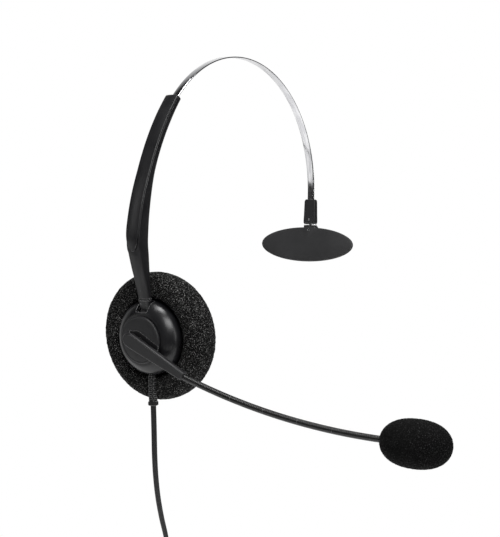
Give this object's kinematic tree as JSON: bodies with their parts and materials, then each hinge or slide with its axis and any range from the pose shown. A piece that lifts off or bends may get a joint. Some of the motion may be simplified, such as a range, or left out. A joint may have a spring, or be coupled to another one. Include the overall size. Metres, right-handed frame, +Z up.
{
  "type": "office headset",
  "caption": "Single-ear telephone headset: sprung steel headband with sliding arm, tilting foam-cushioned ear cup, swinging flexible microphone boom, temple pad and tied cord.",
  "frame": {"origin": "crown of the headband, on the strip's surface that touches the head, in the middle of its width", "axes": "+Z up, away from the head; the wearer faces -Y; the ear cup hangs on the -X side and the temple pad on the +X side"},
  "size_m": [0.1535, 0.1934, 0.3552],
  "materials": {
    "polished_steel": "bright polished spring steel",
    "plain_steel": "plain machined steel",
    "satin_black": "satin moulded plastic",
    "gloss_black": "semi-gloss moulded plastic",
    "matte_black": "fine matte texture",
    "pad_skin": "matte soft-touch rubber",
    "gooseneck_black": "semi-gloss ribbed sleeve",
    "black_rubber": "satin rubber",
    "cord_jacket": "satin vinyl jacket",
    "cushion_foam": "coarse open-cell foam",
    "windscreen_foam": "fine open-cell foam",
    "dust_cloth": "fine woven cloth",
    "copper": "enamelled wire",
    "clear_film": "thin polymer film",
    "circuit_board": "green solder mask",
    "contact_black": "satin moulded plastic"
  },
  "bodies": {
    "headband": {"headband_strip": "polished_steel", "strip_stop_rivet": "plain_steel", "pad_holder": "matte_black", "holder_cross_pin": "plain_steel", "swivel_plate": "plain_steel"},
    "arm": {"arm_inner_shell": "satin_black", "arm_outer_cover": "satin_black", "slider_friction_spring": "plain_steel"},
    "neck": {"cup_neck": "satin_black", "neck_retaining_clip": "plain_steel"},
    "ear_cup": {"cup_rear_shell": "gloss_black", "cup_front_baffle": "satin_black", "baffle_screw_1": "plain_steel", "baffle_screw_2": "plain_steel", "baffle_screw_3": "plain_steel", "tilt_pin": "plain_steel", "dust_screen": "dust_cloth", "ear_cushion": "cushion_foam", "speaker_frame": "satin_black", "speaker_yoke": "plain_steel", "speaker_magnet": "plain_steel", "speaker_pole_plate": "plain_steel", "voice_coil": "copper", "speaker_diaphragm": "clear_film", "terminal_board": "circuit_board", "pivot_friction_washer": "clear_film", "cord_strain_relief": "black_rubber", "cord": "cord_jacket", "cord_hank": "cord_jacket", "cord_tie": "black_rubber", "cord_plug_lead": "cord_jacket", "plug_strain_relief": "black_rubber", "plug_shell_outer": "satin_black", "plug_shell_inner": "satin_black", "plug_tongue": "contact_black"},
    "boom_base": {"boom_pivot_disc": "matte_black", "boom_lever": "matte_black", "pivot_retaining_clip": "plain_steel", "gooseneck_1": "gooseneck_black"},
    "flex_1": {"gooseneck_2": "gooseneck_black"},
    "flex_2": {"gooseneck_3": "gooseneck_black"},
    "flex_3": {"gooseneck_4": "gooseneck_black"},
    "flex_4": {"gooseneck_5": "gooseneck_black"},
    "flex_5": {"gooseneck_6": "gooseneck_black", "mic_housing": "satin_black", "mic_element": "plain_steel", "mic_front_cap": "satin_black", "mic_windscreen": "windscreen_foam"},
    "pad": {"pad_backplate": "matte_black", "pad_cushion": "pad_skin", "pad_swivel_pin": "plain_steel"}
  },
  "joints": [
    {"name": "headband_adjust", "type": "hinge", "parent": "headband", "child": "arm", "pos_m": [0.03798, 0, -0.09509], "axis": [0, -1, 0], "range_deg": [0, 14]},
    {"name": "cup_swivel", "type": "hinge", "parent": "arm", "child": "neck", "pos_m": [-0.07104, 0, -0.11337], "axis": [-0.2164, 0, 0.9763], "range_deg": [-11.5, 11.5]},
    {"name": "cup_tilt", "type": "hinge", "parent": "neck", "child": "ear_cup", "pos_m": [-0.06951, 0, -0.1203], "axis": [0, 1, 0], "range_deg": [-1.5, 12]},
    {"name": "boom_pivot", "type": "hinge", "parent": "ear_cup", "child": "boom_base", "pos_m": [-0.06043, 0, -0.1318], "axis": [-0.9983, 0, -0.0576], "range_deg": [-217, 88]},
    {"name": "pad_swivel", "type": "hinge", "parent": "headband", "child": "pad", "pos_m": [0.06589, 0, -0.08346], "axis": [0.0349, 0, 0.9994], "range_deg": [-35, 35]},
    {"name": "gooseneck_bend_1", "type": "hinge", "parent": "boom_base", "child": "flex_1", "pos_m": [-0.07543, -0.04423, -0.15299], "axis": [-0.0555, -0.2677, 0.9619], "range_deg": [-7, 7]},
    {"name": "gooseneck_bend_2", "type": "hinge", "parent": "flex_1", "child": "flex_2", "pos_m": [-0.07518, -0.06186, -0.15739], "axis": [-0.0562, -0.2173, 0.9745], "range_deg": [-7, 7]},
    {"name": "gooseneck_bend_3", "type": "hinge", "parent": "flex_2", "child": "flex_3", "pos_m": [-0.07498, -0.07968, -0.16087], "axis": [-0.0568, -0.1664, 0.9844], "range_deg": [-7, 7]},
    {"name": "gooseneck_bend_4", "type": "hinge", "parent": "flex_3", "child": "flex_4", "pos_m": [-0.07483, -0.09767, -0.16342], "axis": [-0.0572, -0.115, 0.9917], "range_deg": [-7, 7]},
    {"name": "gooseneck_bend_5", "type": "hinge", "parent": "flex_4", "child": "flex_5", "pos_m": [-0.07474, -0.11576, -0.16504], "axis": [-0.0574, -0.0633, 0.9963], "range_deg": [-7, 7]}
  ],
  "couplings": [
    {"joint": "gooseneck_bend_2", "follows": "gooseneck_bend_1", "ratio": 1},
    {"joint": "gooseneck_bend_3", "follows": "gooseneck_bend_1", "ratio": 1},
    {"joint": "gooseneck_bend_4", "follows": "gooseneck_bend_1", "ratio": 1},
    {"joint": "gooseneck_bend_5", "follows": "gooseneck_bend_1", "ratio": 1}
  ]
}
